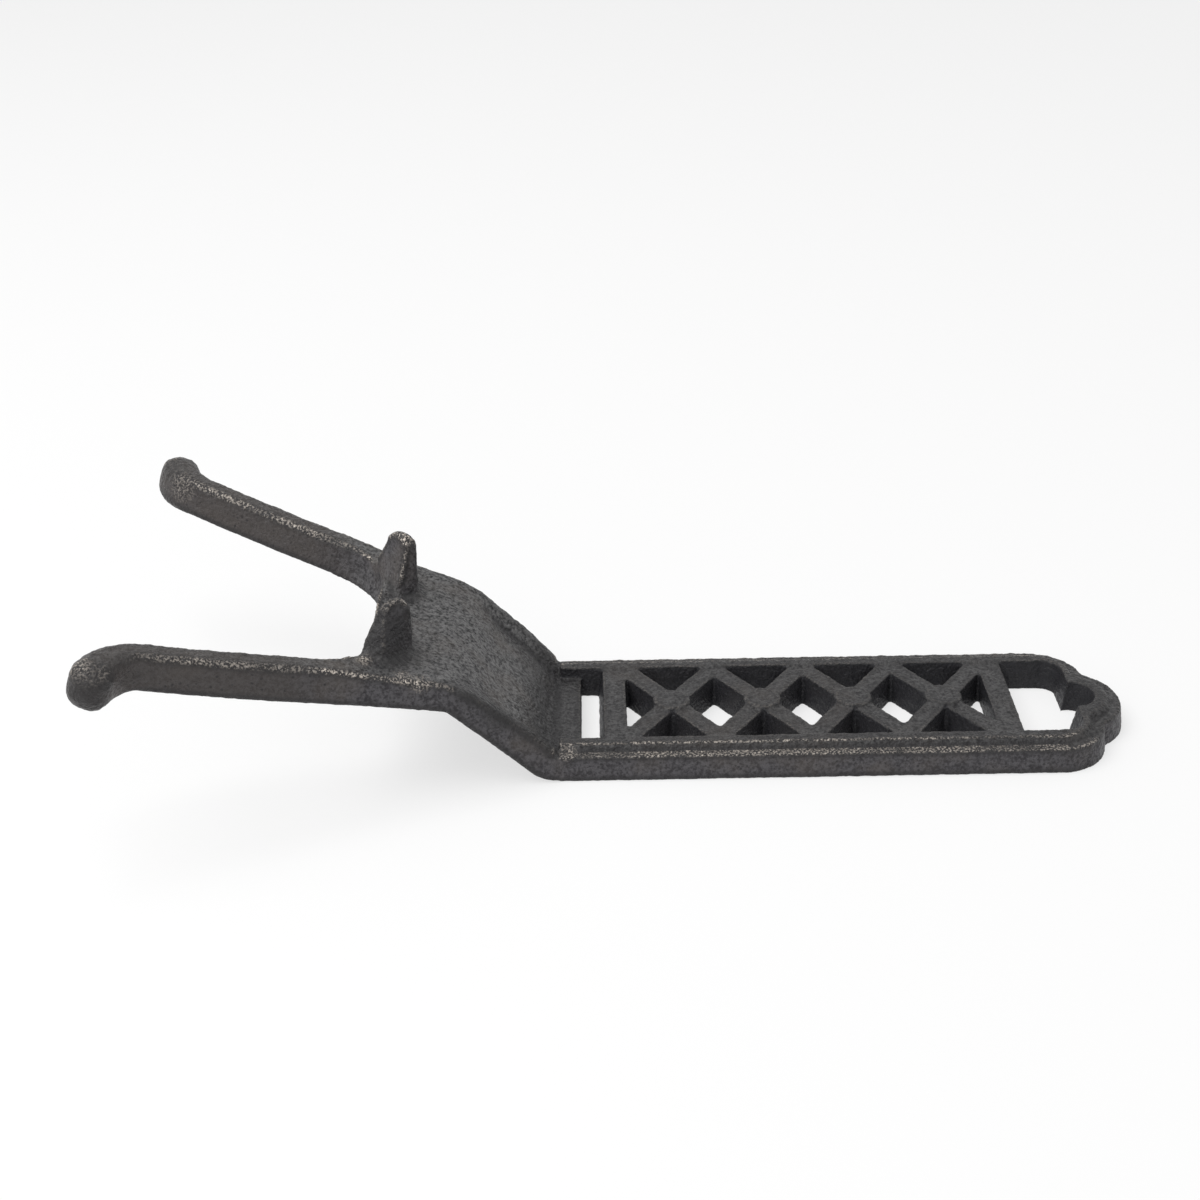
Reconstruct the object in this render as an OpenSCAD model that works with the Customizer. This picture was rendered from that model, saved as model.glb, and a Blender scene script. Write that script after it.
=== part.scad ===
// Cast-iron boot jack: a flat openwork tread to stand on, a neck that rises from it, and a two-pronged fork
// that grips the heel of the boot. It is cast in one piece; each node is one section of that casting, and
// the sections meet face to face. The tread lies on the floor, the fork points to -X and the tail to +X.

/* [Tread] */
// Length of the tread from the foot of the neck to the tail
tread_l = 145.4; // [125:0.1:170]
// Width of the tread on the floor
tread_w = 49.4; // [46:0.2:54]
// How far the outer wall leans in from the floor to the ledge
side_draft = 0.9; // [0.2:0.1:1.5]
// How far the wall of an opening leans in from its top edge to the floor
wall_draft = 1.2; // [0.2:0.1:1.8]
// Height of the ledge that runs round the edge
ledge_h = 6.8; // [5.8:0.1:8]
// Height of the raised band inside the ledge
band_h = 8.4; // [8.2:0.1:11]
// Width of the ledge
ledge_w = 2.7; // [1.5:0.1:3.5]
// Width of the slope from the ledge up to the band
step_w = 1.2; // [0.5:0.1:1.8]
// Width of the raised band
band_w = 3.1; // [2.4:0.1:4]

/* [Openwork] */
// Thickness of the web at the foot of the neck
web_t = 5.4; // [4:0.1:6.5]
// Length of the web at the foot of the neck
web_l = 5.7; // [2:0.1:8]
// Width of the cross slot next to the web
slot_w = 5.5; // [4.5:0.1:10]
// Width of the cross bar between the slot and the trellis
slot_bar_w = 6.1; // [3:0.1:8]
// Width of the cross bar between the trellis and the tail opening
tail_bar_w = 6.2; // [3:0.1:9]
// Width of the trellis bars
trellis_bar_w = 5.2; // [3:0.1:7]
// How far the openwork lies below the raised band
openwork_drop = 0.4; // [0.1:0.1:1.5]
// Radius of the round boss on each crossing, on top
boss_r = 4.8; // [3:0.1:7]
// Height of the boss above the trellis
boss_h = 0.9; // [0.2:0.1:2]

/* [Tail] */
// Radius of the two rounded shoulders
shoulder_r = 14; // [11:0.1:16]
// Radius of the round lobe between the shoulders
lobe_r = 14.9; // [13:0.1:17]
// Distance from the tail bar to the centres of the shoulders
tail_open_l = 8; // [4:0.1:20]
// Distance from the centres of the shoulders to the tail
tail_end_l = 20.8; // [19:0.1:24]
// Radius of the corners of the tail opening
tail_corner_r = 5; // [3:0.1:6.5]
// Thickness of the wall between the tail opening and the ends of the shoulders
shoulder_wall = 6.5; // [5.2:0.1:7.2]
// Radius of the round pocket in the lobe
pocket_r = 5.6; // [4:0.1:6.5]

/* [Neck] */
// Thickness of the neck at its edges
neck_t = 7.9; // [7:0.1:9]
// Slope of the neck in degrees
neck_a = 45; // [35:1:50]
// Radius under the foot of the neck
heel_r = 10; // [9:0.5:22]
// Length of the straight part of the neck's slope
neck_l = 26.9; // [14:0.1:36]
// Radius under the bend between the neck and the fork
knee_r = 4; // [2:0.5:8]
// Radius of the same bend on top
knee_top_r = 30; // [20:1:36]
// Width of the lips along the edges of the neck
lip_w = 5.5; // [4:0.1:8]
// How far the lips rise half way up the neck
lip_rise = 0.6; // [0:0.1:1.2]
// Depth of the hollow between the lips
dish_d = 2.2; // [0.5:0.1:2.8]
// Half width of the neck at its foot
neck_half_w = 24.1; // [23:0.1:28]
// Angle at which the neck widens from its foot, in degrees
neck_flare_a = 4.4; // [1:0.1:7]
// Radius of the curve in plan from the neck into the fork
flare_r = 245; // [180:1:320]

/* [Fork] */
// Slope of the fork at the bend, in degrees
fork_a = 13.5; // [9:0.5:17]
// Radius of the fork's slight upward curve
fork_r = 780; // [500:10:1500]
// Angle of each prong away from the centre line, in degrees
prong_a = 17.7; // [14:0.1:21]
// Length from the bend to the root of the prongs
yoke_l = 33; // [31:0.5:40]
// Length of the prongs from the yoke to the tips
prong_l = 37.1; // [20:0.5:60]
// Thickness of the fork at the prongs
prong_t = 9.6; // [8:0.1:12]
// Width of a prong across its underside
prong_w = 8.6; // [7:0.1:10]
// How much narrower a prong is on top
prong_draft = 1.6; // [0.4:0.1:2]
// Distance along the centre line from the bend to the throat
throat_l = 17.5; // [15.5:0.5:20]
// Radius of the throat's corners on the underside
throat_r = 20.5; // [17:0.5:23]
// Radius of the throat's corners on top, where the heel sits
throat_top_r = 13; // [10:0.5:16]

/* [Tips] */
// Radius at which a tip turns outwards
tip_turn_r = 13.5; // [10:0.5:18]
// Angle by which a tip turns outwards, in degrees
tip_turn_a = 60; // [30:1:65]
// Thickness of a tip at its end
tip_t = 12.7; // [10:0.1:16]
// Width of a tip at its end
tip_w = 10.4; // [7:0.1:12]
// How far the end of a tip is rounded out
tip_dome = 5.1; // [2:0.1:6]
// How far the middle of a tip lies below the middle of its prong
tip_drop = 1.7; // [0:0.1:3]

/* [Lugs] */
// Height of the far lug above the lowest edge of the yoke's upper side
lug_h = 19; // [12:0.2:22]
// How much lower the near lug is
near_lug_drop = 1.4; // [0:0.1:2.5]
// Distance from the centre line to the throat side of the lugs
lug_y = 11.8; // [11:0.1:13]
// How far the near lug stands behind the far one
lug_stagger = 0.6; // [0:0.1:2]

/* [Hidden] */
$fn = 96;
iron = "dimgray";

// Tread places, measured along X from the foot of the neck
openwork_h = band_h - openwork_drop;
rail_w = side_draft + ledge_w + step_w + band_w;
open_half_w = tread_w / 2 - rail_w;
slot_bar_x = web_l + slot_w;
trellis_x = slot_bar_x + slot_bar_w;
shoulder_x = tread_l - tail_end_l;
shoulder_y = tread_w / 2 - shoulder_r;
tail_bar_x = shoulder_x - tail_open_l - tail_bar_w;
margin = 1;
cell_count = 4;
cell_l = (tail_bar_x - trellis_x) / cell_count;
lobe_x = tread_l - lobe_r;
tail_open_x = shoulder_x + shoulder_r - shoulder_wall;

// Stations along the underside of the neck and fork, measured from the foot of the neck
heel_end = heel_r * neck_a * PI / 180;
knee_start = heel_end + neck_l;
knee_end = knee_start + knee_r * (neck_a - fork_a) * PI / 180;
neck_past_knee = 5;
yoke_start = knee_end + neck_past_knee;
prong_start = knee_end + yoke_l;
prong_end = prong_start + prong_l;

// Radii of the rounded edges: round the underside, along the neck and along the top of the prongs
under_edge_r = 1.2;
neck_edge_r = 1.6;
prong_edge_r = 2.2;
tip_edge_r = 0.43 * min(tip_w, tip_t);

function clamp01(t) = max(0, min(1, t));
function ease(t) = let (c = clamp01(t)) c * c * (3 - 2 * c);
function mix(a, b, t) = a + (b - a) * t;

// Slope of the underside at station s, in degrees
function slope(s) =
    s < heel_end ? s / heel_r * 180 / PI
    : s < knee_start ? neck_a
    : s < knee_end ? neck_a - (s - knee_start) / knee_r * 180 / PI
    : fork_a + (s - knee_end) / fork_r * 180 / PI;

// Run and height of the underside at station s
function underside(s) =
    s <= heel_end ? [heel_r * sin(slope(s)), heel_r * (1 - cos(slope(s)))]
    : s <= knee_start ? underside(heel_end) + (s - heel_end) * [cos(neck_a), sin(neck_a)]
    : s <= knee_end
    ? underside(knee_start) + knee_r * [sin(neck_a) - sin(slope(s)), cos(slope(s)) - cos(neck_a)]
    : underside(knee_end) + fork_r * [sin(slope(s)) - sin(fork_a), cos(fork_a) - cos(slope(s))];

// Direction in run and height that is square to a slope
function square_to(a) = [-sin(a), cos(a)];

// The bend on top is an arc of its own, which starts before the one underneath and ends past it
knee_half_turn = (neck_a - fork_a) / 2;
knee_spare_r = knee_top_r - knee_r - neck_t;
bend_start = knee_start - knee_spare_r * tan(knee_half_turn);
bend_end = knee_end + knee_spare_r * tan(knee_half_turn);
bend_centre = underside(knee_start) - knee_r * square_to(neck_a)
    - knee_spare_r / cos(knee_half_turn) * square_to(neck_a - knee_half_turn);
function bend_thickness(s) =
    let (d = underside(s) - bend_centre, along = d * square_to(slope(s)))
    sqrt(along * along - d * d + knee_top_r * knee_top_r) - along;

// Thickness at station s: as high as the ledge at the foot, thicker on the neck, and again at the prongs
foot_blend_l = 6;
lip_start = heel_end / 2;
function lip_swell(s) = ease(1 - abs(2 * s - lip_start - bend_start) / (bend_start - lip_start));
function thickness(s) =
    s < bend_start ? mix(ledge_h, neck_t, ease(s / foot_blend_l)) + lip_rise * lip_swell(s)
    : s < bend_end ? bend_thickness(s)
    : mix(neck_t, prong_t, ease((s - bend_end) / (prong_start - bend_end)));

// Depth of the hollow at station s: down to the web at the foot, full along the neck, and gone at the yoke
dish_fade_l = 0.6 * (yoke_start - heel_end);
function hollow(s) =
    mix(ledge_h - web_t, dish_d, ease(s / heel_end)) * ease((yoke_start - s) / dish_fade_l);

// Half width of the neck and fork on top, in plan, at a run along X from the foot of the neck
flare_run = flare_r * (sin(prong_a) - sin(neck_flare_a));
function half_width(run) = run <= flare_run
    ? neck_half_w + flare_r * (cos(neck_flare_a) - cos(asin(sin(neck_flare_a) + run / flare_r)))
    : half_width(flare_run) + (run - flare_run) * tan(prong_a);

// A point at station s, a distance y from the centre line and a height h above the underside
function station_point(s, y, h) =
    let (p = underside(s), a = slope(s)) [-p[0] + h * sin(a), y, p[1] + h * cos(a)];

// A rounded quarter of a section, from angle a, around [y, h]
corner_steps = 4;
function corner(y, h, r, a) =
    [for (i = [0:corner_steps]) let (b = a + i * 90 / corner_steps) [y + r * cos(b), h + r * sin(b)]];

// Section of a bar with rounded corners: bottom and top width, thickness, bottom and top corner radii
function bar_section(bw, tw, t, br, tr) = concat(
    corner(bw / 2 - br, br, br, -90),
    corner(tw / 2 - tr, t - tr, tr, 0),
    corner(-tw / 2 + tr, t - tr, tr, 90),
    corner(-bw / 2 + br, br, br, 180));

// Section of the dished neck: half width, thickness and depth of the hollow; the lip has a level crest and
// falls to the level floor of the hollow
fall_steps = 7;
crest_w = 0.5 * lip_w;
lip_fall_w = 0.85 * lip_w;
function lip_side(half_w, t, d) = [for (i = [0:fall_steps]) let (fall = i / fall_steps)
    [half_w - crest_w - fall * lip_fall_w, t - d * ease(fall)]];
function neck_section(half_w, t, d) =
    let (under_y = half_w + prong_draft / 2 - under_edge_r, top_y = half_w - neck_edge_r,
        lip = lip_side(half_w, t, d))
    concat(
        corner(under_y, under_edge_r, under_edge_r, -90),
        corner(top_y, t - neck_edge_r, neck_edge_r, 0),
        lip,
        [for (i = [fall_steps:-1:0]) [-lip[i][0], lip[i][1]]],
        corner(-top_y, t - neck_edge_r, neck_edge_r, 90),
        corner(-under_y, under_edge_r, under_edge_r, 180));

// Solid through a list of closed rings that have as many points each
module loft(rings) {
    n = len(rings[0]);
    m = len(rings);
    points = [for (ring = rings) each ring];
    sides = [for (i = [0:m - 2], j = [0:n - 1]) let (k = (j + 1) % n)
        each [[i * n + j, i * n + k, (i + 1) * n + k], [i * n + j, (i + 1) * n + k, (i + 1) * n + j]]];
    first = [[for (j = [n - 1:-1:0]) j]];
    last = [[for (j = [0:n - 1]) (m - 1) * n + j]];
    polyhedron(points, concat(sides, first, last), convexity = 6);
}

// Rings of the neck and of the far prong at station s
function neck_ring(s) =
    [for (q = neck_section(half_width(underside(s)[0]), thickness(s), hollow(s))) station_point(s, q[0], q[1])];
function prong_centre(s) = half_width(underside(s)[0]) + prong_draft / 2 - prong_w / 2 / cos(prong_a);
function prong_ring(s) =
    let (bottom_w = prong_w / cos(prong_a), top_w = (prong_w - prong_draft) / cos(prong_a))
    [for (q = bar_section(bottom_w, top_w, thickness(s), under_edge_r, prong_edge_r))
        station_point(s, prong_centre(s) + q[0], q[1])];

// Mirrors its child to the near side when asked
module on_side(near) {
    if (near) mirror([0, 1, 0]) children();
    else children();
}

// Moves the part so that the middle of its length is at the origin
module placed() {
    translate([mid_shift, 0, 0]) children();
}

// Extrudes a Y-Z outline along X from x0 to x1
module along_x(x0, x1) {
    translate([x0, 0, 0]) rotate([90, 0, 90]) linear_extrude(x1 - x0) children();
}

// Edge of the tread in section: outer wall, ledge, slope, band and the leaning wall of the opening
module rail(near) {
    wall = tread_w / 2;
    ledge_y = wall - side_draft;
    slope_y = ledge_y - ledge_w;
    color(iron) placed() on_side(near) along_x(0, shoulder_x)
        polygon([[wall, 0], [ledge_y, ledge_h], [slope_y, ledge_h], [slope_y - step_w, band_h],
            [open_half_w, band_h], [open_half_w - wall_draft, 0]]);
}

// The room between the rails, with their leaning inner walls, and the room above it
module between_rails(x0, x1) {
    top = band_h + boss_h;
    along_x(x0, x1) polygon([[-open_half_w + wall_draft, 0], [open_half_w - wall_draft, 0],
        [open_half_w, band_h], [open_half_w, top], [-open_half_w, top], [-open_half_w, band_h]]);
}

// A bar of the openwork: its centre line runs along X, and its walls lean
module openwork_bar(l, w) {
    lean = wall_draft * openwork_h / band_h;
    translate([-l / 2, 0, 0]) rotate([90, 0, 90]) linear_extrude(l)
        polygon([[-w / 2 - lean, 0], [w / 2 + lean, 0], [w / 2, openwork_h], [-w / 2, openwork_h]]);
}

// A bar across the tread whose top runs from x to x + w
module cross_bar(x, w) {
    intersection() {
        translate([x + w / 2, 0, 0]) rotate([0, 0, 90]) openwork_bar(tread_w, w);
        between_rails(x - wall_draft, x + w + wall_draft);
    }
}

module foot_web() {
    color(iron) placed() intersection() {
        between_rails(0, web_l);
        translate([0, -tread_w / 2, 0]) cube([web_l, tread_w, web_t]);
    }
}

module slot_bar() {
    color(iron) placed() difference() {
        cross_bar(slot_bar_x, slot_bar_w);
        translate([trellis_x, -tread_w / 2, -margin]) cube([wall_draft + margin, tread_w, band_h + 2 * margin]);
    }
}

module tail_bar() {
    color(iron) placed() difference() {
        cross_bar(tail_bar_x, tail_bar_w);
        translate([tail_bar_x - wall_draft - margin, -tread_w / 2, -margin])
            cube([wall_draft + margin, tread_w, band_h + 2 * margin]);
    }
}

// One cell of the trellis: two crossed bars, with a round boss on the crossing that goes down to the floor and
// leans at its sides as the corners between the bars do
bar_turn = atan2(open_half_w, cell_l / 2);
boss_lean = wall_draft / min(sin(bar_turn), cos(bar_turn));
module trellis_cross(i) {
    cell_x = trellis_x + (i - 1) * cell_l;
    bar_l = 2 * (open_half_w + cell_l);
    color(iron) placed() intersection() {
        translate([cell_x + cell_l / 2, 0, 0]) {
            rotate([0, 0, bar_turn]) openwork_bar(bar_l, trellis_bar_w);
            rotate([0, 0, -bar_turn]) openwork_bar(bar_l, trellis_bar_w);
            cylinder(r1 = boss_r + boss_lean, r2 = boss_r, h = openwork_h + boss_h);
        }
        between_rails(cell_x, cell_x + cell_l);
    }
}

// Round end of the tread: the edge moulding turned about a centre
module tail_disc(x, y, r) {
    ledge_r = r - side_draft;
    slope_r = ledge_r - ledge_w;
    translate([x, y, 0]) rotate_extrude()
        polygon([[0, 0], [r, 0], [ledge_r, ledge_h], [slope_r, ledge_h],
            [slope_r - step_w, band_h], [0, band_h]]);
}

// Upright round cutter whose wall leans in towards the floor; r is its radius at the height of the band
module round_cutter(x, y, r) {
    lean = wall_draft / band_h;
    translate([x, y, -margin])
        cylinder(r1 = r - wall_draft - lean * margin, r2 = r + lean * margin, h = band_h + 2 * margin);
}

// Room of the tail opening from the shoulders' centres on, with the pocket in the lobe
module tail_opening() {
    hull() for (side = [-1, 1], x = [shoulder_x - tail_corner_r, tail_open_x - tail_corner_r])
        round_cutter(x, side * (open_half_w - tail_corner_r), tail_corner_r);
    round_cutter(tail_open_x, 0, pocket_r);
}

module tail_end() {
    difference() {
        union() {
            tail_disc(shoulder_x, shoulder_y, shoulder_r);
            tail_disc(shoulder_x, -shoulder_y, shoulder_r);
            tail_disc(lobe_x, 0, lobe_r);
        }
        tail_opening();
    }
}

// Cusp where the outlines of a shoulder and the lobe meet
lobe_dx = lobe_x - shoulder_x;
lobe_d = sqrt(lobe_dx * lobe_dx + shoulder_y * shoulder_y);
cusp_along = (shoulder_r * shoulder_r - lobe_r * lobe_r + lobe_d * lobe_d) / (2 * lobe_d);
cusp_out = sqrt(shoulder_r * shoulder_r - cusp_along * cusp_along);
cusp = [shoulder_x + (cusp_along * lobe_dx + cusp_out * shoulder_y) / lobe_d,
    shoulder_y + (cusp_out * lobe_dx - cusp_along * shoulder_y) / lobe_d];

// Plan of the lobe's share of the tail: past the lines from inside the corners of the pocket through the cusps
pocket_inset = [1, 0.5];
module lobe_plan() {
    root = [tail_open_x, pocket_r] - pocket_inset;
    far = cusp + 2 * (cusp - root);
    end_x = tread_l + far[0];
    polygon([root, far, [end_x, far[1]], [end_x, -far[1]], [far[0], -far[1]], [root[0], -root[1]]]);
}

module shoulder(near) {
    color(iron) placed() on_side(near) difference() {
        intersection() {
            tail_end();
            translate([shoulder_x, 0, -margin]) cube([tail_end_l + margin, tread_w, band_h + 2 * margin]);
        }
        translate([0, 0, -margin]) linear_extrude(band_h + 2 * margin) lobe_plan();
    }
}

module tail_lobe() {
    color(iron) placed() intersection() {
        tail_end();
        translate([0, 0, -margin]) linear_extrude(band_h + 2 * margin) lobe_plan();
    }
}

// Stations of the neck's rings, closest where it bends
function stations(from, to, count) = [for (i = [0:count - 1]) mix(from, to, i / count)];
neck_stations = concat(stations(0, heel_end, 8), stations(heel_end, bend_start, 8),
    stations(bend_start, knee_start, 4), stations(knee_start, knee_end, 6), stations(knee_end, yoke_start, 4),
    [yoke_start]);
module neck() {
    color(iron) placed() loft([for (s = neck_stations) neck_ring(s)]);
}

// Throat of the fork: its corners turn more tightly on top, and its sides run on from the prongs' inner sides
throat_x = -(underside(knee_end)[0] + throat_l);
throat_slope = slope(prong_start);
throat_h = prong_t / cos(throat_slope);
prong_x = -underside(prong_start)[0];
prong_y = prong_centre(prong_start) - prong_w / 2 / cos(prong_a);
side_shift = prong_draft / 2 / cos(prong_a) + prong_t * sin(throat_slope) * tan(prong_a);

// Outline of the throat's far half, from the middle out along the prong; level 0 is the underside and 1 the top
// The outline is spread by w where it nears the prong, so that its rim can be rounded there
throat_steps = 12;
past_root = 6;
function throat_side(level, w) =
    let (r = mix(throat_r, throat_top_r, level), cx = throat_x - r,
        cy = prong_y + (prong_x - cx) * tan(prong_a) + level * side_shift - r / cos(prong_a))
    concat(
        [for (i = [0:throat_steps]) let (a = i * (90 - prong_a) / throat_steps,
            grown = r + w * ease(2 * i / throat_steps - 1)) [cx + grown * cos(a), cy + grown * sin(a)]],
        [[prong_x - past_root, prong_y + past_root * tan(prong_a) + level * side_shift + w / cos(prong_a)]]);
function throat_ring(level, h, w) =
    let (side = throat_side(level, w), other = [for (i = [len(side) - 1:-1:0]) [side[i][0], -side[i][1]]])
    [for (q = concat(side, other))
        [q[0], q[1], underside(prong_start)[1] + (prong_x - q[0]) * tan(throat_slope) + h]];
// The cutter leans from the underside to the rim, rounds the rim, and runs on below it and straight up above it
cut_below = 0.2;
cut_above = 4;
rim_r = prong_edge_r / cos(throat_slope);
rim_angles = [90, 60, 30, 0];
module throat() {
    rim = [for (b = rim_angles) throat_ring(1, throat_h - rim_r * (1 - sin(b)), prong_edge_r * (1 - cos(b)))];
    loft(concat([throat_ring(1, cut_above * throat_h, prong_edge_r)], rim,
        [throat_ring(-cut_below, -cut_below * throat_h, 0)]));
}

module yoke_plate() {
    steps = 10;
    loft([for (i = [0:steps]) neck_ring(mix(yoke_start, prong_start, i / steps))]);
}

module yoke() {
    color(iron) placed() difference() {
        yoke_plate();
        throat();
    }
}

module prong(near) {
    steps = 12;
    color(iron) placed() on_side(near)
        loft([for (i = [0:steps]) prong_ring(mix(prong_start, prong_end, i / steps))]);
}

// A tip turns outwards in the plane of the fork's end and swells to a rounded knob
tip_steps = 8;
dome_steps = 5;
dome_end_a = 84;
tip_a = slope(prong_end);
tip_root = station_point(prong_end, prong_centre(prong_end), 0);
// A point in the plane of the tip: along the fork, outwards and up from the underside
function tip_point(along, out, up) =
    tip_root + [-along * cos(tip_a) + up * sin(tip_a), out, along * sin(tip_a) + up * cos(tip_a)];
// Ring of a tip after a turn, a distance ahead of it: full size where grown is 1, and drawn in by shrink
function tip_ring(turn, ahead, grown, shrink) =
    let (a = prong_a + turn,
        along = tip_turn_r * (sin(a) - sin(prong_a)) + ahead * cos(a),
        out = tip_turn_r * (cos(prong_a) - cos(a)) + ahead * sin(a),
        w = mix(prong_w, tip_w, grown), t = mix(prong_t, tip_t, grown),
        lift = (prong_t - t) / 2 - tip_drop * grown,
        bottom_r = mix(under_edge_r, tip_edge_r, grown), top_r = mix(prong_edge_r, tip_edge_r, grown))
    [for (q = bar_section(w, mix(w - prong_draft, w, grown), t, bottom_r, top_r))
        let (y = q[0] * shrink, h = t / 2 + (q[1] - t / 2) * shrink)
        tip_point(along - y * sin(a), out + y * cos(a), h + lift)];
turn_rings = [for (i = [1:tip_steps]) tip_ring(tip_turn_a * i / tip_steps, 0, ease(i / tip_steps), 1)];
dome_rings = [for (i = [1:dome_steps]) let (b = dome_end_a * i / dome_steps)
    tip_ring(tip_turn_a, tip_dome * sin(b), 1, cos(b))];
module tip(near) {
    color(iron) placed() on_side(near) loft(concat([prong_ring(prong_end)], turn_rings, dome_rings));
}

// A lug is a post of four-sided section at the throat's corner; it leans in to a rounded top
lug_steps = 8;
lug_round = 3.4;
lug_base_cut = 0.05;
lug_top_cut = 0.2;
lug_dome_angles = [22, 44, 66, 88];
lug_base_z = underside(knee_end)[1] + neck_t;
lug_top_z = lug_base_z + lug_h;
// Corners of a lug in plan at its base and top, as shares of its length and width: forward, outer, tailward and
// inner
lug_base_l = 20.4;
lug_base_w = 17;
lug_base = [[-0.3, 0.83], [0.18, 0.98], [0.52, 0.09], [0.2, -0.29]];
lug_top = [[0.09, 0.35], [0.22, 0.48], [0.53, 0.22], [0.38, 0.01]];
// The tailward corner goes straight up first, the others lean in evenly
lug_lean = [1, 1, 2.5, 1];
function lug_corners(level) = [for (i = [0:3])
    let (q = mix(lug_base[i], lug_top[i], pow(level, lug_lean[i]))) [q[0] * lug_base_l, q[1] * lug_base_w]];
// Ring of a lug: each corner is cut back to three points, by a share k of the sides
corner_depth = 0.55;
function lug_ring(corners, k, z) = [for (i = [0:3])
    let (p = corners[i], q = corners[(i + 3) % 4], n = corners[(i + 1) % 4])
    for (c = [mix(p, q, k), mix(p, (q + n) / 2, k * corner_depth), mix(p, n, k)])
        [throat_x + c[0], lug_y + c[1], z]];
module lug_post(top_z) {
    top = lug_corners(1);
    middle = (top[0] + top[1] + top[2] + top[3]) / 4;
    body = [for (i = [0:lug_steps]) let (t = i / lug_steps)
        lug_ring(lug_corners(t), mix(lug_base_cut, lug_top_cut, t), mix(lug_base_z, top_z - lug_round, t))];
    dome = [for (b = lug_dome_angles)
        lug_ring([for (q = top) mix(middle, q, cos(b))], lug_top_cut, top_z - lug_round * (1 - sin(b)))];
    loft(concat(body, dome));
}
module lug(near) {
    shift = near ? lug_stagger / 2 : -lug_stagger / 2;
    color(iron) placed() on_side(near) difference() {
        translate([shift, 0, 0]) lug_post(near ? lug_top_z - near_lug_drop : lug_top_z);
        yoke_plate();
        throat();
    }
}

// Half of the overall length lies on either side of the origin
tip_reach = min([for (ring = dome_rings) each [for (p = ring) p[0]]]);
mid_shift = -(tread_l + tip_reach) / 2;

rail(true);  // near_rail
rail(false);  // far_rail
foot_web();
slot_bar();
trellis_cross(1);  // trellis_cross_1
trellis_cross(2);  // trellis_cross_2
trellis_cross(3);  // trellis_cross_3
trellis_cross(4);  // trellis_cross_4
tail_bar();
shoulder(true);  // near_shoulder
shoulder(false);  // far_shoulder
tail_lobe();
neck();
yoke();
lug(true);  // near_lug
lug(false);  // far_lug
prong(true);  // near_prong
prong(false);  // far_prong
tip(true);  // near_tip
tip(false);  // far_tip
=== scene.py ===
"""Looks of the cast-iron boot jack.

The jack is one sand casting. Copies of the frame's solids are run together into that casting, its edges are
softened, its skin gets the grain of the sand, and it is parted again at the planes where its sections meet.
"""

import logging
import math
from dataclasses import dataclass
from enum import Enum

import bmesh
import bpy
import numpy as np
from mathutils import Euler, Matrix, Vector
from mathutils.kdtree import KDTree


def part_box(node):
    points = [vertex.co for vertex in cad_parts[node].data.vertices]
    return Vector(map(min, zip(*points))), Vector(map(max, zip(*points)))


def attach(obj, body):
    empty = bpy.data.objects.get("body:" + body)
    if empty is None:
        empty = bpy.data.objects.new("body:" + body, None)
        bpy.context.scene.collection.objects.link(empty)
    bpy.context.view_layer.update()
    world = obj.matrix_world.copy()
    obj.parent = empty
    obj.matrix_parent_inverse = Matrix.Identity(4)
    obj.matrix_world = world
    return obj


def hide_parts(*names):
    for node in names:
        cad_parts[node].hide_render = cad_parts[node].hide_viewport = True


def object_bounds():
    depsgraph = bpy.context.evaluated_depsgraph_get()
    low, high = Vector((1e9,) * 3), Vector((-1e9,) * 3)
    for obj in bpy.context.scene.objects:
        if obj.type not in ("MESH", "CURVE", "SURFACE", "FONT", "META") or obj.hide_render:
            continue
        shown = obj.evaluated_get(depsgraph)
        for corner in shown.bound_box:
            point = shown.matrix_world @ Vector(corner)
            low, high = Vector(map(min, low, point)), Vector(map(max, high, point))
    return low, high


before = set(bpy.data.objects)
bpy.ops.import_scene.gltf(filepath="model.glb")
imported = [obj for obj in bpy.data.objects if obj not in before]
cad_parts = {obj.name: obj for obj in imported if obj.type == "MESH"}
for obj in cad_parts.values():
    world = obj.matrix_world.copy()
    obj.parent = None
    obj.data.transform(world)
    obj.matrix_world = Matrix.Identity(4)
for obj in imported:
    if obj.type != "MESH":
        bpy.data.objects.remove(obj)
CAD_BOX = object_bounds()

log = logging.getLogger("boot_jack")

Colour = tuple[float, float, float]
Point = tuple[float, float, float]
Stops = tuple[tuple[float, float], tuple[float, float]]

MM = 0.001
CUT_WIDTH = 1e-7
SAME_POINT = 1e-6
ROOT = "root"
RUBBED_AND_HIGHLIT = "rubbed_and_highlit"
BROAD_RIDGE = "broad_ridge"
LEVEL = "level"
SHADED_INSIDE = "inside"
DARKENED = "darkened"
GRAINY = "grainy"
BROKEN = "broken"


class Side(Enum):
    """The two sides of the jack: the near one faces the camera."""

    NEAR = -1
    FAR = 1

    @property
    def word(self) -> str:
        """The side's word in the names of the sections."""
        return self.name.lower()


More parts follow.
